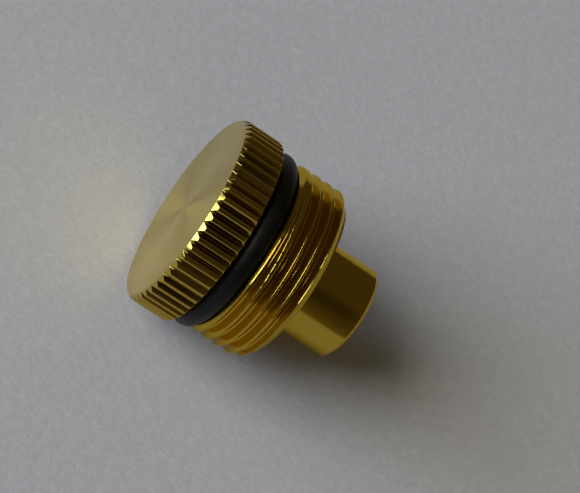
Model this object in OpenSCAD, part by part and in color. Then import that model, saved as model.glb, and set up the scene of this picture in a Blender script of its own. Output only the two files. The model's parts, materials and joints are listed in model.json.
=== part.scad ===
// Automatic radiator air vent with a hygroscopic disc pack.
// The axis lies along X: the knob faces +X and the spigot points into the radiator, -X.
// The origin is on the axis at the mouth of the threaded tapping, where the thread starts.
// Every piece is drawn about Z with its outer end upwards, and install() lays it along X.

/* [Knob] */
// Diameter over the knurl
knob_d = 28.3; // [28:0.1:30]
// Distance from the sealing ring to the outer face
knob_h = 6.1; // [6:0.1:7]
// Number of knurl teeth
knurl_teeth = 56; // [40:1:64]
// Depth of the knurl grooves
knurl_depth = 0.42; // [0.3:0.02:0.5]
// Width of the knurl grooves at the rim
knurl_groove_w = 1.04; // [0.9:0.02:1.3]
// Length along the axis of the chamfer round the outer face
face_chamfer_l = 0.64; // [0.3:0.02:0.8]
// Radial width of that chamfer
face_chamfer_w = 0.5; // [0.44:0.02:0.6]

/* [Thread] */
// Major diameter of the G 3/4 pipe thread
thread_d = 26.441; // [26.2:0.001:26.441]
// Thread pitch
thread_pitch = 1.814; // [1.814]
// Depth of the thread
thread_depth = 1.162; // [1.162]
// Length of the thread
thread_l = 8; // [7.8:0.1:8.4]
// Width of the chamfer at the sealing ring's end of the thread
start_chamfer = 0.5; // [0.3:0.05:0.6]
// Angle over which the last groove runs out under the sealing ring
runout_angle = 110; // [60:10:180]
// Angle that the whole vent is turned about its axis, which sets where the thread starts
turned_by = -36; // [-180:1:180]

/* [Body] */
// Diameter of the plain spigot
spigot_d = 13.8; // [13.6:0.1:14.4]
// Length of the spigot past the thread
spigot_l = 9.6; // [9.6:0.1:10.4]
// Diameter of the waterway through the spigot
waterway_d = 10; // [9.8:0.1:10.2]

/* [Sealing ring] */
// Section diameter of the tapping's O-ring
ring_section = 3.5; // [3.4:0.05:3.6]
// Inner diameter of the tapping's O-ring
ring_inner_d = 19.8; // [19.6:0.1:20]

/* [Cartridge] */
// Number of hygroscopic discs
disc_count = 8; // [8]
// Thickness of one disc
disc_t = 0.55; // [0.5:0.01:0.55]
// Diameter of the discs
disc_d = 10; // [9:0.1:10.2]
// Diameter of the spindle
spindle_d = 3; // [2.8:0.1:3.2]

/* [Hidden] */

$fn = 96;
eps = 0.01;
running_gap = 0.05;

// Knob: a cup whose boss screws into the body and whose skirt covers the body's flange
skirt_z = ring_section;
face_z = skirt_z + knob_h;
recess_z = 6.4;
skirt_r = 12.6;
boss_r = 7;
boss_z = 0.5;
knob_bore_r = 3;
knob_bore_z = 6.6;
bleed_hole_d = 0.8;
bleed_hole_z = 5.9;
rear_chamfer_l = 0.25;
rear_chamfer_w = 0.4;

// Body
flange_r = 12.3;
flange_z = 5.4;
thread_r = thread_d / 2;
root_r = thread_r - thread_depth;
half_flank = 27.5;
end_chamfer = thread_depth;
spigot_r = spigot_d / 2;
spigot_chamfer = 0.5;
spigot_z = -thread_l - spigot_l;
chamber_r = 5.5;
chamber_z = -7;
seat_z = -8.2;
port_r = 2.5;
waterway_r = waterway_d / 2;
groove_facets = 36;
start_angle = 180;
start_z = -0.893;

// Seals and rings
ring_mid_r = (ring_inner_d + ring_section) / 2;
knob_seal_section = 1.2;
knob_seal_r = 6.42;
knob_seal_z = 2.4;
snap_z = 2.7;
snap_t = 0.8;
snap_outer_r = 3.6;
snap_inner_r = 1.8;
snap_gap = 1.6;

// Cartridge, from the spindle's flange up
spindle_r = spindle_d / 2;
disc_r = disc_d / 2;
spindle_flange_r = 4.4;
spindle_flange_t = 0.8;
spindle_flange_z = -6.4;
washer_t = 0.4;
bottom_washer_z = spindle_flange_z + spindle_flange_t;
first_disc_z = bottom_washer_z + washer_t;
top_washer_z = first_disc_z + disc_count * disc_t;
seal_z = top_washer_z + washer_t;
seal_t = 0.6;
spindle_head_r = 2.6;
spindle_head_z = snap_z + snap_t + 0.02;
spindle_top_z = knob_bore_z - running_gap;
spindle_slot_w = 0.8;
tip_r = 1.2;
tip_z = -8.95;

// Check valve, drawn open as the spindle holds it
poppet_travel = 1;
poppet_seal_t = 0.8;
poppet_seal_z = seat_z - poppet_travel - poppet_seal_t;
poppet_r = 3.9;
poppet_plate_t = 0.8;
poppet_plate_z = poppet_seal_z - poppet_plate_t;
nose_r = 1.45;
nose_z = -9;
stem_r = 1.2;
stem_z = -14.7;
retainer_r = 4.95;
retainer_plate_z = -14.2;
retainer_plate_t = 0.8;
retainer_skirt_z = -15.1;
retainer_holes = 6;
strainer_t = 0.3;
strainer_z = retainer_skirt_z - strainer_t;
clip_t = 0.8;
clip_z = strainer_z - clip_t;
clip_r = 5.6;
spring_mid_r = 3;
spring_wire_d = 0.5;
spring_turns = 3;
spring_facets = 24;
wire_sides = 8;
spring_z = retainer_plate_z + retainer_plate_t;

// Lays a piece drawn about Z along the X axis, with Z becoming X, and turns it about that axis.
module install() {
    rotate([0, 90, 0]) rotate([0, 0, turned_by]) children();
}

// Ring with a rectangular section.
module collar(r_in, r_out, z, h) {
    rotate_extrude() translate([r_in, z]) square([r_out - r_in, h]);
}

// Ring with a round section.
module o_ring(mid_r, section, z) {
    rotate_extrude() translate([mid_r, z]) circle(d = section, $fn = 48);
}

// Points of the knurl's outline: a flat-topped tooth and a V groove, repeated.
tooth_step = 360 / knurl_teeth;
groove_half = asin(knurl_groove_w / knob_d);
knurl_points = [
    for (i = [0:knurl_teeth - 1])
        each [
            polar(knob_d / 2, i * tooth_step + groove_half),
            polar(knob_d / 2, (i + 1) * tooth_step - groove_half),
            polar(knob_d / 2 - knurl_depth, (i + 1) * tooth_step)
        ]
];

function polar(r, a) = [r * cos(a), r * sin(a)];

module knurled_knob() {
    color("goldenrod") install() difference() {
        intersection() {
            translate([0, 0, boss_z]) linear_extrude(face_z - boss_z) polygon(knurl_points);
            rotate_extrude() knob_section();
        }
        translate([0, 0, bleed_hole_z]) rotate([90, 0, 0])
            cylinder(d = bleed_hole_d, h = 2 * boss_r + 1, center = true);
    }
}

// Half section of the knob about its axis, with the knurl's envelope as its outer edge.
module knob_section() {
    knob_r = knob_d / 2;
    seal_r = knob_seal_r - knob_seal_section / 2 - 0.02;
    seal_low = knob_seal_z - 0.7;
    seal_high = knob_seal_z + 0.7;
    polygon([
        [knob_bore_r, boss_z], [boss_r, boss_z],
        [boss_r, seal_low], [seal_r, seal_low], [seal_r, seal_high], [boss_r, seal_high],
        [boss_r, recess_z], [skirt_r, recess_z], [skirt_r, skirt_z],
        [knob_r - rear_chamfer_w, skirt_z], [knob_r, skirt_z + rear_chamfer_l],
        [knob_r, face_z - face_chamfer_l], [knob_r - face_chamfer_w, face_z],
        [0, face_z], [0, knob_bore_z], [knob_bore_r, knob_bore_z],
        [knob_bore_r, snap_z + snap_t], [snap_outer_r + 0.05, snap_z + snap_t],
        [snap_outer_r + 0.05, snap_z], [knob_bore_r, snap_z]
    ]);
}

module vent_body() {
    color("goldenrod") install() difference() {
        rotate_extrude() body_section();
        thread_groove();
    }
}

// Half section of the body about its axis, from the flange down to the spigot.
module body_section() {
    neck_r = ring_mid_r - ring_section / 2;
    bore_r = boss_r + running_gap;
    polygon([
        [bore_r, 0], [bore_r, flange_z], [flange_r, flange_z], [flange_r, ring_section],
        [neck_r, ring_section], [neck_r, 0],
        [thread_r - start_chamfer, 0], [thread_r, -start_chamfer],
        [thread_r, end_chamfer - thread_l], [root_r, -thread_l],
        [spigot_r, -thread_l], [spigot_r, spigot_z + spigot_chamfer],
        [spigot_r - spigot_chamfer, spigot_z], [waterway_r, spigot_z],
        [waterway_r, clip_z], [clip_r, clip_z], [clip_r, strainer_z],
        [waterway_r, strainer_z], [waterway_r, seat_z], [port_r, seat_z],
        [port_r, chamber_z], [chamber_r, chamber_z], [chamber_r, 0]
    ]);
}

// The 55 degree groove, swept along a right-hand helix and lifted out of the bar at its run-out.
module thread_groove() {
    clear_r = thread_r + 0.3;
    first_angle = start_angle - 360 * (start_z + thread_l + 1) / thread_pitch;
    last_angle = start_angle + runout_angle / 2 + 20;
    rings = ceil((last_angle - first_angle) * groove_facets / 360);
    step = (last_angle - first_angle) / rings;
    root_half = thread_pitch / 12;
    angles = [for (i = [0:rings]) first_angle + i * step];
    points = [for (a = angles) each groove_ring(a, last_angle, root_half, clear_r)];
    sides = [
        for (i = [0:rings - 1], k = [0:3])
            let (n = (k + 1) % 4, low = 4 * i, high = 4 * i + 4)
                each [[low + k, high + k, high + n], [low + k, high + n, low + n]]
    ];
    caps = [[0, 1, 2], [0, 2, 3], [4 * rings, 4 * rings + 2, 4 * rings + 1],
            [4 * rings, 4 * rings + 3, 4 * rings + 2]];
    polyhedron(points, concat(sides, caps), convexity = 10);
}

// Four corners of the groove's section at one angle: the root's two, then the mouth's two.
function groove_ring(a, last_angle, root_half, clear_r) =
    let (
        z = start_z + thread_pitch * (a - start_angle) / 360,
        lift = max(0, 1 - (last_angle - a) / runout_angle) * (thread_depth + 0.2),
        r_root = root_r + lift,
        mouth_half = root_half + (clear_r - root_r) * tan(half_flank),
        r_out = clear_r + lift
    )
    [
        groove_point(r_root, a, z - root_half), groove_point(r_root, a, z + root_half),
        groove_point(r_out, a, z + mouth_half), groove_point(r_out, a, z - mouth_half)
    ];

function groove_point(r, a, z) = [r * cos(a), r * sin(a), z];

module tapping_o_ring() {
    color("dimgray") install() o_ring(ring_mid_r, ring_section, ring_section / 2);
}

module knob_seal_o_ring() {
    color("dimgray") install() o_ring(knob_seal_r, knob_seal_section, knob_seal_z);
}

module spindle() {
    slot_h = seal_z + seal_t - first_disc_z;
    color("khaki") install() difference() {
        union() {
            translate([0, 0, tip_z]) cylinder(r = tip_r, h = spindle_flange_z - tip_z + eps);
            translate([0, 0, spindle_flange_z]) cylinder(r = spindle_flange_r, h = spindle_flange_t);
            translate([0, 0, spindle_flange_z]) cylinder(r = spindle_r, h = spindle_top_z - spindle_flange_z);
            translate([0, 0, spindle_head_z]) cylinder(r = spindle_head_r, h = spindle_top_z - spindle_head_z);
        }
        translate([spindle_r - 0.4, -spindle_slot_w / 2, first_disc_z])
            cube([1, spindle_slot_w, slot_h]);
    }
}

module snap_ring() {
    color("silver") install() difference() {
        collar(snap_inner_r, snap_outer_r, snap_z, snap_t);
        translate([0, -snap_gap / 2, snap_z - eps]) cube([snap_outer_r + 1, snap_gap, snap_t + 2 * eps]);
    }
}

module seat_seal() {
    color("dimgray") install() collar(spindle_r, 4.6, seal_z, seal_t);
}

module top_washer() {
    color("khaki") install() collar(spindle_r, 4.9, top_washer_z, washer_t);
}

module bottom_washer() {
    color("khaki") install() collar(spindle_r, 4.9, bottom_washer_z, washer_t);
}

// One fibre disc of the pack, numbered from the radiator side.
module hygroscopic_disc(i) {
    color("burlywood") install() collar(spindle_r, disc_r, first_disc_z + (i - 1) * disc_t, disc_t);
}

module check_poppet() {
    color("khaki") install() union() {
        translate([0, 0, poppet_plate_z]) cylinder(r = poppet_r, h = poppet_plate_t);
        translate([0, 0, poppet_plate_z]) cylinder(r = nose_r, h = nose_z - poppet_plate_z);
        translate([0, 0, stem_z]) cylinder(r = stem_r, h = poppet_plate_z - stem_z + eps);
    }
}

module poppet_seal() {
    color("dimgray") install() collar(nose_r, poppet_r, poppet_seal_z, poppet_seal_t);
}

// Compression spring: one wire wound on a helix between the retainer and the poppet.
module poppet_spring() {
    low = spring_z + spring_wire_d / 2;
    high = poppet_plate_z - spring_wire_d / 2;
    rings = spring_turns * spring_facets;
    points = [
        for (i = [0:rings], k = [0:wire_sides - 1])
            let (r = spring_mid_r + spring_wire_d / 2 * cos(k * 360 / wire_sides))
                groove_point(r, i * 360 / spring_facets,
                    low + (high - low) * i / rings + spring_wire_d / 2 * sin(k * 360 / wire_sides))
    ];
    sides = [
        for (i = [0:rings - 1], k = [0:wire_sides - 1])
            let (n = (k + 1) % wire_sides, a = i * wire_sides, b = a + wire_sides)
                each [[a + k, a + n, b + n], [a + k, b + n, b + k]]
    ];
    first = [for (k = [0:wire_sides - 1]) wire_sides - 1 - k];
    last = [for (k = [0:wire_sides - 1]) rings * wire_sides + k];
    color("silver") install() polyhedron(points, concat(sides, [first, last]), convexity = 10);
}

// Perforated cup that guides the poppet's stem and carries its spring.
module spring_retainer() {
    rim_t = 0.6;
    hole_r = 0.6;
    hole_pitch_r = 3.9;
    color("khaki") install() difference() {
        union() {
            collar(stem_r + running_gap, retainer_r, retainer_plate_z, retainer_plate_t);
            collar(retainer_r - rim_t, retainer_r, retainer_skirt_z, retainer_plate_z - retainer_skirt_z + eps);
        }
        for (i = [0:retainer_holes - 1])
            rotate([0, 0, i * 360 / retainer_holes]) translate([hole_pitch_r, 0, retainer_plate_z - 0.2])
                cylinder(r = hole_r, h = retainer_plate_t + 0.4);
    }
}

// Punched strainer disc: rings of small holes round a plain centre.
module inlet_strainer() {
    color("silver") install() difference() {
        translate([0, 0, strainer_z]) cylinder(r = retainer_r, h = strainer_t);
        for (ring = [1:3], i = [0:6 * ring - 1])
            rotate([0, 0, i * 60 / ring]) translate([1.25 * ring, 0, strainer_z - 0.1])
                cylinder(r = 0.35, h = strainer_t + 0.2, $fn = 24);
    }
}

module circlip() {
    ear_gap = 2;
    color("silver") install() difference() {
        collar(4.1, clip_r - 0.05, clip_z + running_gap, clip_t - 2 * running_gap);
        translate([0, -ear_gap / 2, clip_z - eps]) cube([clip_r + 1, ear_gap, clip_t + 2 * eps]);
    }
}

knurled_knob();
vent_body();
tapping_o_ring();
knob_seal_o_ring();
spindle();
snap_ring();
seat_seal();
top_washer();
for (i = [1:disc_count])
    hygroscopic_disc(i);
bottom_washer();
check_poppet();
poppet_seal();
poppet_spring();
spring_retainer();
inlet_strainer();
circlip();
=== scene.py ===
"""Looks of the automatic air vent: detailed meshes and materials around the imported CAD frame."""
import bmesh
import bpy
import json
import math
from mathutils import Matrix, Vector


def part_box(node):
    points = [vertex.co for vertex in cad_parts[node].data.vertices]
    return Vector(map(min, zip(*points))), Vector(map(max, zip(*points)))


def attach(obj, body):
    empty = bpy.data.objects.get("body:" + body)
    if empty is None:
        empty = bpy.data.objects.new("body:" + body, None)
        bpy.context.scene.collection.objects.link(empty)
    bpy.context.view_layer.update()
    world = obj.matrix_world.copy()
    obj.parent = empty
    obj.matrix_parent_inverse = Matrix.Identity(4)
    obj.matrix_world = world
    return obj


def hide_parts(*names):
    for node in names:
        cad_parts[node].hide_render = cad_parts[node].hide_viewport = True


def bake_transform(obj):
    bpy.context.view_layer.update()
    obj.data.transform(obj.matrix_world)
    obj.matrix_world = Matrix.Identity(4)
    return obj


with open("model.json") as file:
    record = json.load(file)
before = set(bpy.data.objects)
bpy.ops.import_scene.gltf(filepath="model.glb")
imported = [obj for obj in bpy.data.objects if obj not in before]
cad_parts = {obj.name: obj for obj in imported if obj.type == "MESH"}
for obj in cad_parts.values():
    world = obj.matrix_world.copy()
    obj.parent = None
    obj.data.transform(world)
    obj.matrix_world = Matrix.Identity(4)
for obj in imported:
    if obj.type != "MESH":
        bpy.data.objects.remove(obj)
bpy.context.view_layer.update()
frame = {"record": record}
MM = 0.001
TURN = 2 * math.pi

# ---------------------------------------------------------------- sizes, in millimetres
# The axis is X. The knob's face looks along +X and the thread starts at x = 0.

# How far the whole vent is turned about its axis, as it lies on the table.
TURNED_BY = math.radians(-36)

FACE_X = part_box("knurled_knob")[1].x / MM
SPIGOT_END_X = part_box("vent_body")[0].x / MM

KNOB_R = 14.15
KNURL_TEETH = 56
KNURL_PITCH = TURN * KNOB_R / KNURL_TEETH
KNURL_GROOVE_W = 1.10
KNURL_FLANK = math.radians(45)
KNURL_EDGE_ROUNDING = 0.06
KNURL_ROOT_ROUNDING = 0.08
KNURL_TOOTH_CROWN = 0.025
# Arc distances from a tooth's middle at which the knob has a section: closest on the groove's edge.
KNURL_SECTIONS = (0.0, 0.09, 0.17, 0.21, 0.25, 0.29, 0.33, 0.38, 0.48, 0.60, 0.68, 0.73, 0.765)
SKIRT_X = 3.5
SKIRT_INNER_R = 12.6
FACE_CHAMFER_L = 0.64
FACE_CHAMFER_W = 0.5
REAR_CHAMFER_L = 0.28
REAR_CHAMFER_W = 0.43
REAR_CHAMFER_MIN_W = 0.02
RECESS_X = 6.4
BOSS_R = 7.0
BOSS_X = 0.5
KNOB_BORE_R = 3.0
KNOB_BORE_X = 6.6
KNOB_GROOVE_R = 5.8
KNOB_GROOVE_X = (1.7, 3.1)
SNAP_GROOVE_R = 3.65
SNAP_GROOVE_X = (2.7, 3.5)

THREAD_R = 13.2205
THREAD_PITCH = 1.814
THREAD_DEPTH = 1.162
THREAD_ROOT_R = THREAD_R - THREAD_DEPTH
THREAD_L = 8.0
THREAD_ROOT_ROUNDING = 0.137 * THREAD_PITCH
THREAD_HALF_ANGLE = math.radians(27.5)
THREAD_CREST_ROUNDING = 0.08
THREAD_START_CHAMFER = 0.72
THREAD_SOFT_CORNER = 0.16
GROOVE_X_ON_TOP = -0.893
RUNOUT_FROM_X = -1.069
RUNOUT_TO_X = -0.515
RUNOUT_BEND = 1.3
RUNOUT_LIFT = THREAD_DEPTH + 0.2
BODY_SECTIONS = 480

NECK_R = 9.9
FLANGE_R = 12.3
FLANGE_X = 5.4
BODY_BORE_R = 7.05
CHAMBER_R = 5.5
CHAMBER_X = -7.0
SEAT_X = -8.18
PORT_R = 2.5
WATERWAY_R = 5.0
CLIP_GROOVE_R = 5.6
CLIP_GROOVE_X = (-16.2, -15.4)
SPIGOT_R = 6.9
SPIGOT_CHAMFER = 0.5

RING_SECTION = 3.5
RING_MID_R = 11.65
RING_MOULD_LINE = 0.02
KNOB_RING_SECTION = 1.2
KNOB_RING_MID_R = 6.42
KNOB_RING_X = 2.4
KNOB_RING_MOULD_LINE = 0.005
MOULD_LINE_SHARPNESS = 60

SPRING_MID_R = 3.0
SPRING_WIRE_D = 0.5
SPRING_TURNS = 3
SPRING_STEPS_PER_TURN = 48
SPRING_SIDES = 14

FILLET_STEPS = 3
MERGE_WITHIN = 0.0002
SMOOTH_BELOW = math.radians(32)


# ---------------------------------------------------------------- mesh helpers

def on_axis(x, r, angle):
    """A point at x along the axis and r from it; the angle grows by the right-hand rule about +X."""
    turned = angle + TURNED_BY
    return Vector((x, r * math.sin(turned), -r * math.cos(turned))) * MM


def make_object(name, verts, faces, body, material, node):
    """Builds the mesh that replaces one CAD node."""
    mesh = bpy.data.meshes.new(name)
    mesh.from_pydata(verts, [], faces)
    mesh.validate()
    obj = bpy.data.objects.new(name, mesh)
    bpy.context.scene.collection.objects.link(obj)
    clean(obj)
    obj.data.materials.append(material)
    if body:
        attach(obj, body)
    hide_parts(node)
    return obj


def clean(obj):
    """Merges coincident points, drops faces without area, faces everything outwards and smooths it."""
    bm = bmesh.new()
    bm.from_mesh(obj.data)
    bmesh.ops.remove_doubles(bm, verts=bm.verts, dist=MERGE_WITHIN * MM)
    bmesh.ops.dissolve_degenerate(bm, edges=bm.edges, dist=MERGE_WITHIN * MM)
    bmesh.ops.recalc_face_normals(bm, faces=bm.faces)
    bm.to_mesh(obj.data)
    bm.free()
    obj.data.shade_smooth()
    obj.data.set_sharp_from_angle(angle=SMOOTH_BELOW)


def rounded(points):
    """Rounds a polyline of (x, r, fillet) corners; a rounded corner gives FILLET_STEPS + 1 points."""
    out = []
    for i, (x, r, fillet) in enumerate(points):
        here = Vector((x, r))
        if fillet == 0 or i in (0, len(points) - 1):
            out += [(x, r)]
            continue
        before = Vector(points[i - 1][:2]) - here
        after = Vector(points[i + 1][:2]) - here
        half = (math.pi - before.angle(after, 0)) / 2
        reach = min(fillet * math.tan(half), before.length * 0.45, after.length * 0.45)
        start = here + before.normalized() * reach
        end = here + after.normalized() * reach
        for k in range(FILLET_STEPS + 1):
            t = k / FILLET_STEPS
            point = start.lerp(here, t).lerp(here.lerp(end, t), t)
            out.append((point.x, point.y))
    return out


def steps_between(start, end, count):
    """The points strictly between start and end that cut a stretch into count parts."""
    return [
        (start[0] + (end[0] - start[0]) * k / count, start[1] + (end[1] - start[1]) * k / count, 0)
        for k in range(1, count)
    ]


# ---------------------------------------------------------------- materials

class Nodes:
    """Adds and links the shader nodes of one tree."""

    def __init__(self, tree):
        self.tree = tree
        tree.nodes.clear()

    def add(self, kind, settings=None, **inputs):
        node = self.tree.nodes.new(kind)
        for key, value in (settings or {}).items():
            setattr(node, key, value)
        for key, value in inputs.items():
            self.set(node, key, value)
        return node

    def set(self, node, key, value):
        name = key.replace("_", " ")
        by_number = key[0] == "i" and key[1:].isdigit()
        socket = node.inputs[int(key[1:])] if by_number else node.inputs[name]
        if isinstance(value, bpy.types.NodeSocket):
            self.tree.links.new(value, socket)
        else:
            socket.default_value = value

    def math(self, operation, a, b=0.0):
        return self.add("ShaderNodeMath", {"operation": operation}, i0=a, i1=b).outputs[0]

    def coordinates(self, kind):
        return self.add("ShaderNodeTexCoord").outputs[kind]

    def split(self, vector):
        return self.add("ShaderNodeSeparateXYZ", Vector=vector).outputs

    def vector(self, x, y, z):
        return self.add("ShaderNodeCombineXYZ", X=x, Y=y, Z=z).outputs[0]

    def dot(self, a, b):
        return self.add("ShaderNodeVectorMath", {"operation": "DOT_PRODUCT"}, i0=a, i1=b).outputs["Value"]

    def noise(self, vector, scale, detail=2.0, roughness=0.5):
        node = self.add("ShaderNodeTexNoise", Vector=vector, Scale=scale, Detail=detail,
                        Roughness=roughness)
        return node.outputs["Fac"]

    def remap(self, value, low, high, out_low, out_high):
        node = self.add("ShaderNodeMapRange", i0=value, i1=low, i2=high, i3=out_low, i4=out_high)
        return node.outputs[0]

    def blend(self, factor, a, b):
        node = self.add("ShaderNodeMix", {"data_type": "RGBA"})
        for index, value in ((0, factor), (6, a), (7, b)):
            self.set(node, f"i{index}", value)
        return node.outputs[2]

    def bump(self, height, distance, normal=None):
        node = self.add("ShaderNodeBump", Height=height, Distance=distance, Strength=1.0)
        if normal is not None:
            self.set(node, "Normal", normal)
        return node.outputs[0]


def rgb(r, g, b):
    return (r, g, b, 1.0)


def new_material(name):
    material = bpy.data.materials.new(name)
    material.use_nodes = True
    return material, Nodes(material.node_tree)


def finish_material(nodes, normal, **principled):
    shader = nodes.add("ShaderNodeBsdfPrincipled", **principled)
    nodes.set(shader, "Normal", normal)
    nodes.add("ShaderNodeOutputMaterial", Surface=shader.outputs[0])


def axis_place(nodes, point):
    """A point as distance along the axis, distance from it and cosine of the angle round it."""
    x, y, z = nodes.split(point)
    squares = nodes.math("ADD", nodes.math("MULTIPLY", y, y), nodes.math("MULTIPLY", z, z))
    radius = nodes.math("SQRT", squares)
    turned = nodes.math("DIVIDE", z, nodes.math("MAXIMUM", radius, 1e-6))
    return x, radius, turned


# How many features of each pattern come to a metre.
LATHE_RINGS = 9000
BRASS_CLOUDS = 240
BRASS_GRAIN = 2600
BRASS_SPECKS = 430.0
RUBBER_GRAIN = 5200
RUBBER_BLOOM = 330
STEEL_CLOUDS = 500
FIBRE_STRANDS = 2400
FIBRE_MOTTLE = 700

BRASS_EDGE_TINT = rgb(1.0, 0.86, 0.50)
SPECK_TONE = rgb(0.16, 0.10, 0.04)
# Painted shade: the dark brown that darkens the knurl's grooves, deepest towards their roots.
GROOVE_SHADE_TONE = rgb(0.22, 0.13, 0.03)
GROOVE_SHADE_SHARE = 0.6
GROOVE_SHADE_REACH = 0.25
# Painted light: a lighter, greener brass for the faced end and its chamfer, so that they look more brightly lit.
# The edge tint, roughness and stretch below are their own turned finish.
FACE_PAINTED_LIGHT_TONE = rgb(0.65, 0.49, 0.10)
FACED_EDGE_TINT = rgb(1.0, 1.0, 1.0)
FACED_ROUGHNESS = 0.18
FACED_ANISOTROPY = 1.0
LEAST_OUTWARDS = 0.3


def painted_groove_shade(n, tone, radius, groove_shade_r):
    """Painted shade in the knurl's grooves: nothing at the second radius, most at the first, and none further
    than the set reach below it.
    """
    share = n.remap(radius, groove_shade_r[0] * MM, groove_shade_r[1] * MM, GROOVE_SHADE_SHARE, 0.0)
    reached = n.math("GREATER_THAN", radius, (groove_shade_r[0] - GROOVE_SHADE_REACH) * MM)
    return n.blend(n.math("MULTIPLY", share, reached), tone, GROOVE_SHADE_TONE)


def on_faced_end(n, x, face_from):
    """One where the surface lies past face_from along the axis and looks along it, otherwise zero."""
    outwards = n.split(n.coordinates("Normal"))[0]
    past = n.math("GREATER_THAN", x, face_from * MM)
    return n.math("MULTIPLY", past, n.math("GREATER_THAN", outwards, LEAST_OUTWARDS))


def turned_brass(name, light, deep, roughness, anisotropy, lathe_depth, tarnish=0.25, face_from=None,
                 groove_shade_r=None):
    """Brass off a lathe: fine rings round the axis, a stretched highlight, cloudy tarnish and a few dark specks.

    Past face_from along the axis, in mm, the finish is that of a faced end, with its base colour painted lighter
    as painted light. Painted shade darkens the knurl's grooves between the radii of groove_shade_r, in mm."""
    material, n = new_material(name)
    point = n.coordinates("Object")
    x, radius, turned = axis_place(n, point)
    rings = n.vector(n.math("MULTIPLY", x, LATHE_RINGS), n.math("MULTIPLY", radius, LATHE_RINGS),
                     n.math("MULTIPLY", turned, 0.6))
    lathe = n.noise(rings, 1.0, detail=3.0, roughness=0.65)
    clouds = n.noise(point, BRASS_CLOUDS, detail=4.0, roughness=0.6)
    grain = n.noise(point, BRASS_GRAIN, detail=3.0, roughness=0.7)
    cells = n.add("ShaderNodeTexVoronoi", Vector=point, Scale=BRASS_SPECKS, Randomness=1.0)
    specks = n.remap(cells.outputs["Distance"], 0.025, 0.05, 1.0, 0.0)
    tone = n.blend(n.remap(clouds, 0.35, 0.75, 0.0, tarnish), light, deep)
    edge_tint = BRASS_EDGE_TINT
    stretch = anisotropy
    # Painted shade in the knurl's grooves, darker the deeper they go.
    if groove_shade_r is not None:
        tone = painted_groove_shade(n, tone, radius, groove_shade_r)
    if face_from is not None:
        # The faced end has its own roughness, stretch and white edge tint, and a base colour painted lighter as
        # painted light.
        on_face = on_faced_end(n, x, face_from)
        tone = n.blend(on_face, tone, FACE_PAINTED_LIGHT_TONE)
        edge_tint = n.blend(on_face, edge_tint, FACED_EDGE_TINT)
        roughness = n.remap(on_face, 0.0, 1.0, roughness, FACED_ROUGHNESS)
        stretch = n.remap(on_face, 0.0, 1.0, anisotropy, FACED_ANISOTROPY)
    colour = n.blend(n.math("MULTIPLY", specks, 0.55), tone, SPECK_TONE)
    rough = n.math("ADD", n.math("MULTIPLY", n.remap(clouds, 0.3, 0.7, 0.9, 1.12), roughness),
                   n.remap(grain, 0.35, 0.7, -0.02, 0.03))
    tangent = n.add("ShaderNodeTangent", {"direction_type": "RADIAL", "axis": "X"}).outputs[0]
    normal = n.bump(lathe, lathe_depth * MM)
    normal = n.bump(grain, 0.0006 * MM, normal=normal)
    finish_material(n, normal, Base_Color=colour, Metallic=1.0, Roughness=rough, Anisotropic=stretch,
                    Anisotropic_Rotation=0.25, Tangent=tangent, Specular_Tint=edge_tint)
    return material


def rubber(name, tone, roughness):
    """Moulded rubber: fine grain and a cloudy bloom that is lighter and rougher."""
    material, n = new_material(name)
    point = n.coordinates("Object")
    grain = n.noise(point, RUBBER_GRAIN, detail=4.0, roughness=0.7)
    bloom = n.noise(point, RUBBER_BLOOM, detail=3.0)
    bloomed = rgb(*(c * 1.7 + 0.002 for c in tone[:3]))
    colour = n.blend(n.remap(bloom, 0.4, 0.7, 0.0, 1.0), tone, bloomed)
    rough = n.remap(bloom, 0.3, 0.7, roughness - 0.06, roughness + 0.08)
    finish_material(n, n.bump(grain, 0.004 * MM), Base_Color=colour, Roughness=rough,
                    Specular_IOR_Level=0.2)
    return material


def steel(name, tone, roughness, grain_scale):
    """Drawn steel: streaks round the axis and slightly darker clouds."""
    material, n = new_material(name)
    point = n.coordinates("Object")
    x, radius, turned = axis_place(n, point)
    streaks = n.vector(n.math("MULTIPLY", x, 3.0), radius, n.math("MULTIPLY", turned, 0.002))
    drawn = n.noise(streaks, grain_scale, detail=3.0)
    clouds = n.noise(point, STEEL_CLOUDS, detail=3.0)
    darker = rgb(*(c * 0.75 for c in tone[:3]))
    colour = n.blend(n.remap(clouds, 0.35, 0.7, 0.0, 0.5), tone, darker)
    rough = n.remap(drawn, 0.3, 0.7, roughness * 0.8, roughness * 1.3)
    finish_material(n, n.bump(drawn, 0.002 * MM), Base_Color=colour, Metallic=1.0, Roughness=rough)
    return material


def fibre(name):
    """Pressed cellulose board: tangled fibres, mottled tan."""
    material, n = new_material(name)
    point = n.coordinates("Object")
    x, radius, _ = axis_place(n, point)
    stretched = n.vector(n.math("MULTIPLY", x, 4.0), n.split(point)[1], radius)
    strands = n.noise(stretched, FIBRE_STRANDS, detail=5.0, roughness=0.75)
    mottle = n.noise(point, FIBRE_MOTTLE, detail=3.0)
    tan = n.blend(n.remap(mottle, 0.35, 0.7, 0.0, 1.0), rgb(0.46, 0.31, 0.17), rgb(0.33, 0.21, 0.11))
    colour = n.blend(n.remap(strands, 0.45, 0.7, 0.0, 0.6), tan, rgb(0.62, 0.48, 0.31))
    finish_material(n, n.bump(strands, 0.02 * MM), Base_Color=colour, Roughness=0.85)
    return material


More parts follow.
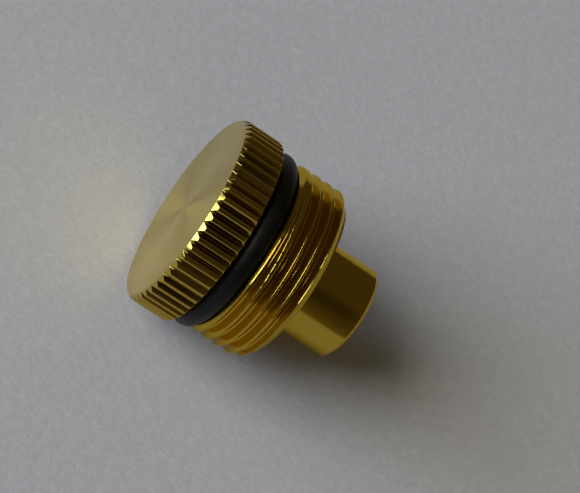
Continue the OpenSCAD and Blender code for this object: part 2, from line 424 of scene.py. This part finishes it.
# The knob's brass has painted shade in the knurl's grooves and a faced end painted lighter.
KNOB_BRASS = turned_brass("knob_brass", rgb(0.57, 0.395, 0.075), rgb(0.47, 0.31, 0.05), roughness=0.10,
                          anisotropy=0.2, lathe_depth=0.0010, tarnish=0.4,
                          face_from=FACE_X - FACE_CHAMFER_L - 0.05, groove_shade_r=(KNOB_R - 0.40, KNOB_R - 0.06))
BODY_BRASS = turned_brass("body_brass", rgb(0.60, 0.40, 0.050), rgb(0.52, 0.33, 0.035), roughness=0.15,
                          anisotropy=0.4, lathe_depth=0.0004)
INNER_BRASS = turned_brass("inner_brass", rgb(0.80, 0.66, 0.33), rgb(0.62, 0.46, 0.20), roughness=0.30,
                           anisotropy=0.6, lathe_depth=0.003)
BLACK_RUBBER = rubber("black_rubber", rgb(0.006, 0.006, 0.006), 0.42)
SEAL_RUBBER = rubber("seal_rubber", rgb(0.020, 0.019, 0.018), 0.6)
SPRING_STEEL = steel("spring_steel", rgb(0.60, 0.60, 0.58), 0.25, 2500)
STRAINER_STEEL = steel("strainer_steel", rgb(0.55, 0.55, 0.54), 0.35, 5000)
DISC_FIBRE = fibre("disc_fibre")


# ---------------------------------------------------------------- knob

def knurl_depth_at(s):
    """Depth below the rim, in mm, at arc distance s from the middle of a tooth."""
    flat = (KNURL_PITCH - KNURL_GROOVE_W) / 2
    slope = math.tan(KNURL_FLANK)
    edge, root = KNURL_EDGE_ROUNDING, KNURL_ROOT_ROUNDING
    s = abs(s)
    over = s - flat
    if over <= -edge:
        depth = 0.0
    elif over < edge:
        depth = slope * (over + edge) ** 2 / (4 * edge)
    else:
        depth = slope * over
    left = KNURL_PITCH / 2 - s
    if left < root:
        depth -= slope * (root - left) ** 2 / (2 * root)
    return depth + KNURL_TOOTH_CROWN * min(1.0, s / flat) ** 2


def knob_half_section(depth):
    """The knob's outline in one half plane where the knurl is this deep, from the face round to the bore."""
    tooth_r = KNOB_R - depth
    face_r = KNOB_R - FACE_CHAMFER_W
    rear_r = KNOB_R - REAR_CHAMFER_W
    front_x = FACE_X - max(0.0, tooth_r - face_r) * FACE_CHAMFER_L / FACE_CHAMFER_W
    back_x = SKIRT_X + max(REAR_CHAMFER_MIN_W, tooth_r - rear_r) * REAR_CHAMFER_L / REAR_CHAMFER_W
    face = [(FACE_X, 0, 0)] + steps_between((FACE_X, 0), (FACE_X, face_r), 12)
    knurl = steps_between((front_x, tooth_r), (back_x, tooth_r), 4)
    return rounded(
        face
        + [(FACE_X, min(face_r, tooth_r), 0.05), (front_x, tooth_r, 0.07)]
        + knurl
        + [
            (back_x, tooth_r, 0.25), (SKIRT_X, min(rear_r, tooth_r), 0.05),
            (SKIRT_X, SKIRT_INNER_R, 0.1), (RECESS_X, SKIRT_INNER_R, 0.2), (RECESS_X, BOSS_R, 0.2),
            (KNOB_GROOVE_X[1], BOSS_R, 0.05), (KNOB_GROOVE_X[1], KNOB_GROOVE_R, 0.05),
            (KNOB_GROOVE_X[0], KNOB_GROOVE_R, 0.05), (KNOB_GROOVE_X[0], BOSS_R, 0.05),
            (BOSS_X, BOSS_R, 0.2), (BOSS_X, KNOB_BORE_R, 0.1),
            (SNAP_GROOVE_X[0], KNOB_BORE_R, 0.05), (SNAP_GROOVE_X[0], SNAP_GROOVE_R, 0.05),
            (SNAP_GROOVE_X[1], SNAP_GROOVE_R, 0.05), (SNAP_GROOVE_X[1], KNOB_BORE_R, 0.05),
            (KNOB_BORE_X, KNOB_BORE_R, 0.1), (KNOB_BORE_X, 0, 0),
        ]
    )


def make_knob():
    """The knurled knob: V grooves with rounded roots, cut off by a chamfer at each end."""
    half = list(KNURL_SECTIONS)
    offsets = [-KNURL_PITCH / 2] + [-s for s in reversed(half[1:])] + half
    sections = []
    for tooth in range(KNURL_TEETH):
        for offset in offsets:
            arc = (tooth + 0.5) * KNURL_PITCH + offset
            from_tooth = ((arc / KNURL_PITCH) % 1 - 0.5) * KNURL_PITCH
            sections.append((arc / KNOB_R, knob_half_section(knurl_depth_at(from_tooth))))
    rows = len(sections[0][1])
    verts = [on_axis(x, r, angle) for angle, section in sections for x, r in section]
    count = len(sections)
    faces = []
    for i in range(count):
        j = (i + 1) % count
        faces += [(i * rows + k, i * rows + k + 1, j * rows + k + 1, j * rows + k) for k in range(rows - 1)]
    make_object("knob_shell", verts, faces, "knob", KNOB_BRASS, "knurled_knob")


# ---------------------------------------------------------------- body

def soft_min(a, b, width=THREAD_SOFT_CORNER):
    """The smaller of two heights, in mm, with the corner where they cross rounded off."""
    near = max(0.0, width - abs(a - b)) / width
    return min(a, b) - near ** 2 * width / 4


ROOT_BLEND_S = THREAD_PITCH / 2 - THREAD_ROOT_ROUNDING * math.cos(THREAD_HALF_ANGLE)
CREST_CORNER_S = (THREAD_PITCH / 2 - ROOT_BLEND_S
                  - THREAD_ROOT_ROUNDING * (1 - math.sin(THREAD_HALF_ANGLE)) * math.tan(THREAD_HALF_ANGLE))


def thread_depth(s, lift):
    """Depth below the crest, in mm, at axial distance s from the middle of a crest: a flat crest with rounded
    corners, 55 degrees between the flanks, and a round root. The run-out lifts the groove."""
    s = abs((s / THREAD_PITCH + 0.5) % 1 - 0.5) * THREAD_PITCH
    if s >= ROOT_BLEND_S:
        from_root = THREAD_PITCH / 2 - s
        groove = THREAD_DEPTH - THREAD_ROOT_ROUNDING + math.sqrt(THREAD_ROOT_ROUNDING ** 2 - from_root ** 2)
    else:
        groove = (s - CREST_CORNER_S) / math.tan(THREAD_HALF_ANGLE)
    return -soft_min(0.0, lift - groove, THREAD_CREST_ROUNDING)


def thread_row_places():
    """Where rows lie along one pitch, from crest to crest: closest together on the crest's corners."""
    corner = THREAD_CREST_ROUNDING * math.tan(THREAD_HALF_ANGLE)
    stops = [(0.0, 6), (CREST_CORNER_S - corner, 8), (CREST_CORNER_S + corner, 12), (ROOT_BLEND_S, 6),
             (THREAD_PITCH / 2, 0)]
    half = [start + (stop - start) * k / count
            for (start, count), (stop, _) in zip(stops, stops[1:]) for k in range(count)]
    return half + [THREAD_PITCH / 2] + [THREAD_PITCH - s for s in reversed(half[1:])]


THREAD_ROW_PLACES = thread_row_places()


def thread_rows(angle):
    """The thread's outline at one angle, from the sealing ring to the end chamfer."""
    first_groove_x = GROOVE_X_ON_TOP + THREAD_PITCH * (angle / TURN + 0.5)
    rows = []
    for pitch in range(math.ceil(THREAD_L / THREAD_PITCH + 2)):
        groove_x = first_groove_x - THREAD_PITCH * pitch
        lift = (groove_x - RUNOUT_FROM_X) / (RUNOUT_TO_X - RUNOUT_FROM_X)
        lift = max(0.0, lift) ** RUNOUT_BEND * RUNOUT_LIFT
        for from_crest in THREAD_ROW_PLACES:
            x = min(0.0, max(-THREAD_L, groove_x + THREAD_PITCH / 2 - from_crest))
            groove = THREAD_R - thread_depth(x - groove_x + THREAD_PITCH / 2, lift)
            start = THREAD_R - THREAD_START_CHAMFER - x
            end = THREAD_ROOT_R + x + THREAD_L
            rows.append((x, soft_min(groove, soft_min(start, end)), 0))
    return rows


def body_half_section(angle):
    bore_mid = (FLANGE_R + BODY_BORE_R) / 2
    before = [
        (FLANGE_X, bore_mid, 0), (FLANGE_X, FLANGE_R, 0.15), (SKIRT_X, FLANGE_R, 0.1),
        (SKIRT_X, NECK_R, 0.15), (0.0, NECK_R, 0.3), (0.0, THREAD_R - THREAD_START_CHAMFER, 0)
    ]
    after = [
        (-THREAD_L, THREAD_ROOT_R, 0), (-THREAD_L, SPIGOT_R, 0.18)
    ] + steps_between((-THREAD_L, SPIGOT_R), (SPIGOT_END_X + SPIGOT_CHAMFER, SPIGOT_R), 5) + [
        (SPIGOT_END_X + SPIGOT_CHAMFER, SPIGOT_R, 0.12), (SPIGOT_END_X, SPIGOT_R - SPIGOT_CHAMFER, 0.1),
        (SPIGOT_END_X, WATERWAY_R, 0.12),
        (CLIP_GROOVE_X[0], WATERWAY_R, 0.03), (CLIP_GROOVE_X[0], CLIP_GROOVE_R, 0.03),
        (CLIP_GROOVE_X[1], CLIP_GROOVE_R, 0.03), (CLIP_GROOVE_X[1], WATERWAY_R, 0.03),
        (SEAT_X, WATERWAY_R, 0.2), (SEAT_X, PORT_R, 0.05), (CHAMBER_X, PORT_R, 0.1),
        (CHAMBER_X, CHAMBER_R, 0.2), (0.0, CHAMBER_R, 0.1), (0.0, BODY_BORE_R, 0.1),
        (FLANGE_X, BODY_BORE_R, 0.25), (FLANGE_X, bore_mid, 0)
    ]
    return rounded(before) + [(x, r) for x, r, _ in thread_rows(angle)] + rounded(after)


def make_body():
    """The body: flange, ring groove, right-hand thread with its run-out, spigot and stepped bore."""
    angles = [TURN * i / BODY_SECTIONS for i in range(BODY_SECTIONS + 1)]
    sections = [body_half_section(angle) for angle in angles]
    rows = len(sections[0])
    verts = [on_axis(x, r, angle) for angle, section in zip(angles, sections) for x, r in section]
    faces = []
    for i in range(BODY_SECTIONS):
        low, high = i * rows, (i + 1) * rows
        faces += [(low + k, low + k + 1, high + k + 1, high + k) for k in range(rows - 1)]
    make_object("body_shell", verts, faces, "vent_body", BODY_BRASS, "vent_body")


# ---------------------------------------------------------------- rings and spring

def make_o_ring(name, node, body, mid_r, section, x, mould_line, turns, sides):
    """An O-ring, with the thin moulding line that a split mould leaves inside and outside."""
    verts, faces = [], []
    for i in range(turns):
        for k in range(sides):
            a = TURN * k / sides
            line = mould_line * (abs(math.cos(a)) ** MOULD_LINE_SHARPNESS)
            tube = section / 2 + line
            verts.append(on_axis(x + tube * math.sin(a), mid_r + tube * math.cos(a), TURN * i / turns))
            j, n = (i + 1) % turns, (k + 1) % sides
            faces.append((i * sides + k, i * sides + n, j * sides + n, j * sides + k))
    make_object(name, verts, faces, body, BLACK_RUBBER, node)


def make_spring():
    """The poppet's spring: one wire at an even pitch, built at one length; the real one stretches as the valve
    shuts.
    """
    wire_r = SPRING_WIRE_D / 2
    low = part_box("poppet_spring")[0].x / MM + wire_r
    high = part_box("poppet_spring")[1].x / MM - wire_r
    steps = SPRING_TURNS * SPRING_STEPS_PER_TURN
    sides = SPRING_SIDES
    verts, faces = [], []
    for i in range(steps + 1):
        t = i / steps
        for k in range(sides):
            a = TURN * k / sides
            x = low + (high - low) * t + wire_r * math.sin(a)
            verts.append(on_axis(x, SPRING_MID_R + wire_r * math.cos(a), TURN * (SPRING_TURNS * t + 0.5)))
            if i < steps:
                n = (k + 1) % sides
                faces.append((i * sides + k, i * sides + n, (i + 1) * sides + n, (i + 1) * sides + k))
    faces.append(tuple(range(sides)))
    faces.append(tuple(reversed(range(steps * sides, (steps + 1) * sides))))
    spring = make_object("spring_wire", verts, faces, None, SPRING_STEEL, "poppet_spring")
    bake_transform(spring)


def finish_cad_nodes():
    """Gives each inner CAD piece, which keeps its own mesh, its material."""
    looks = {
        "inner_brass": INNER_BRASS, "seal_rubber": SEAL_RUBBER, "black_rubber": BLACK_RUBBER,
        "spring_steel": SPRING_STEEL, "strainer_steel": STRAINER_STEEL, "disc_fibre": DISC_FIBRE
    }
    for part in frame["record"]["subparts"]:
        material = looks.get(part["material_slot"])
        obj = bpy.data.objects.get(part["node"])
        if material and obj:
            for place in obj.material_slots:
                place.material = material


# ---------------------------------------------------------------- stage, light and camera

TABLE_HALF_SIZE = 0.9
PAPER_GRAIN_TURN = math.radians(-55)
PAPER_FIBRES = 2200
PAPER_PULP = 700
PAPER_SPECKS = 1500
LIGHT_DISTANCE = 4.0
PHOTOGRAPHER = Vector((0.0, 0.588, 0.809))
ROOM_STRENGTH = 0.060
LOW_GLOW_STRENGTH = 0.06


def make_floor():
    """A pale paper-covered table that the knob's rim and the thread's end both touch."""
    knob_rim = (SKIRT_X + REAR_CHAMFER_L, -KNOB_R)
    thread_rim = (-THREAD_L + THREAD_DEPTH, -THREAD_R)
    slope = (thread_rim[1] - knob_rim[1]) / (thread_rim[0] - knob_rim[0])
    mesh = bpy.data.meshes.new("table")
    corners = []
    for side_x, side_y in ((-1, -1), (1, -1), (1, 1), (-1, 1)):
        x = side_x * TABLE_HALF_SIZE
        height = (knob_rim[1] + slope * (x / MM - knob_rim[0])) * MM
        corners.append((x, side_y * TABLE_HALF_SIZE, height))
    mesh.from_pydata(corners, [], [(0, 1, 2, 3)])
    table = bpy.data.objects.new("table", mesh)
    bpy.context.scene.collection.objects.link(table)
    material, n = new_material("paper")
    point = n.coordinates("Object")
    grain = n.add("ShaderNodeMapping", Vector=point, Rotation=(0, 0, -PAPER_GRAIN_TURN),
                  Scale=(0.35, 1, 1))
    fibres = n.noise(grain.outputs[0], PAPER_FIBRES, detail=3.0, roughness=0.6)
    pulp = n.noise(point, PAPER_PULP, detail=4.0, roughness=0.7)
    specks = n.remap(n.noise(point, PAPER_SPECKS, detail=2.0), 0.70, 0.78, 0.0, 0.25)
    tone = n.blend(n.remap(pulp, 0.35, 0.65, 0.0, 1.0), rgb(0.82, 0.82, 0.83), rgb(0.74, 0.74, 0.75))
    tone = n.blend(n.remap(fibres, 0.35, 0.65, 0.0, 1.0), tone, rgb(0.72, 0.72, 0.73))
    colour = n.blend(specks, tone, rgb(0.45, 0.44, 0.44))
    relief = n.math("ADD", fibres, n.math("MULTIPLY", pulp, 1.5))
    finish_material(n, n.bump(relief, 0.03 * MM), Base_Color=colour, Roughness=0.95)
    mesh.materials.append(material)


def make_area_light(name, azimuth, elevation, across, tall, radiance, colour):
    """A soft rectangular light by the angles that it fills; azimuth is counted from +X towards +Y."""
    a, e = math.radians(azimuth), math.radians(elevation)
    place = Vector((math.cos(a) * math.cos(e), math.sin(a) * math.cos(e), math.sin(e))) * LIGHT_DISTANCE
    data = bpy.data.lights.new(name, "AREA")
    data.shape = "RECTANGLE"
    data.size = 2 * LIGHT_DISTANCE * math.tan(math.radians(across) / 2)
    data.size_y = 2 * LIGHT_DISTANCE * math.tan(math.radians(tall) / 2)
    data.energy = radiance * math.pi * data.size * data.size_y
    data.color = colour
    light = bpy.data.objects.new(name, data)
    light.location = place
    light.rotation_euler = (-place).to_track_quat("-Z", "Y").to_euler()
    bpy.context.scene.collection.objects.link(light)


def make_world():
    """A dim warm room, darkest where the photographer stands. The camera sees a pale backdrop instead."""
    world = bpy.data.worlds.new("room")
    bpy.context.scene.world = world
    world.use_nodes = True
    n = Nodes(world.node_tree)
    direction = n.coordinates("Generated")
    _, y, z = n.split(direction)
    shade = n.remap(n.dot(direction, PHOTOGRAPHER), 0.90, 0.965, 1.0, 0.35)
    glow = n.math("MULTIPLY", n.remap(z, 0.02, 0.45, 1.0, 0.0), n.remap(y, 0.0, 0.9, 0.0, 1.0))
    strength = n.math("ADD", n.math("MULTIPLY", shade, ROOM_STRENGTH),
                      n.math("MULTIPLY", glow, LOW_GLOW_STRENGTH))
    room = n.add("ShaderNodeBackground", Color=rgb(1.0, 0.80, 0.44), Strength=strength)
    backdrop = n.add("ShaderNodeBackground", Color=rgb(0.60, 0.60, 0.62), Strength=0.55)
    camera_ray = n.add("ShaderNodeLightPath").outputs["Is Camera Ray"]
    mix = n.add("ShaderNodeMixShader", i0=camera_ray, i1=room.outputs[0], i2=backdrop.outputs[0])
    n.add("ShaderNodeOutputWorld", Surface=mix.outputs[0])


# Angles in degrees, lengths in millimetres.
CAMERA_TILT = 15.39
AXIS_IN_PICTURE = 146.6
CAMERA_DISTANCE = 294.6
CAMERA_AIM = (2.96, 2.01)
LENS = 136.0
SENSOR_W = 36.0


def make_camera():
    """Nearly overhead, leaning towards the knob, with the axis running down to the lower right of the picture."""
    tilt, roll = math.radians(CAMERA_TILT), math.radians(AXIS_IN_PICTURE)
    forward = Matrix.Rotation(TURNED_BY, 3, "X") @ Vector((-math.sin(tilt), 0, -math.cos(tilt)))
    axis_up = Vector((1, 0, 0)) - forward * forward.x
    axis_up.normalize()
    across = forward.cross(axis_up)
    right = axis_up * math.cos(roll) + across * math.sin(roll)
    up = right.cross(forward)
    middle = Vector(((FACE_X + SPIGOT_END_X) / 2, 0, 0))
    aim = middle + right * CAMERA_AIM[0] + up * CAMERA_AIM[1]
    data = bpy.data.cameras.new("camera")
    data.lens = LENS
    data.sensor_width = SENSOR_W
    data.clip_start = 0.01
    data.clip_end = 10.0
    camera = bpy.data.objects.new("camera", data)
    camera.matrix_world = Matrix.LocRotScale(
        (aim - forward * CAMERA_DISTANCE) * MM, Matrix((right, up, -forward)).transposed().to_quaternion(), None)
    bpy.context.scene.collection.objects.link(camera)
    bpy.context.scene.camera = camera


make_knob()
make_body()
make_o_ring("tapping_ring", "tapping_o_ring", "vent_body", RING_MID_R, RING_SECTION, RING_SECTION / 2,
            RING_MOULD_LINE, turns=240, sides=40)
make_o_ring("knob_ring", "knob_seal_o_ring", "knob", KNOB_RING_MID_R, KNOB_RING_SECTION, KNOB_RING_X,
            KNOB_RING_MOULD_LINE, turns=120, sides=24)
make_spring()
finish_cad_nodes()

make_floor()
make_area_light("window", azimuth=8, elevation=9, across=52, tall=18, radiance=8.9,
                colour=(0.58, 0.72, 1.0))
make_area_light("curtain", azimuth=18, elevation=34, across=36, tall=32, radiance=3.5,
                colour=(1.0, 0.96, 0.86))
make_world()
make_camera()
bpy.context.scene.view_settings.view_transform = "Standard"
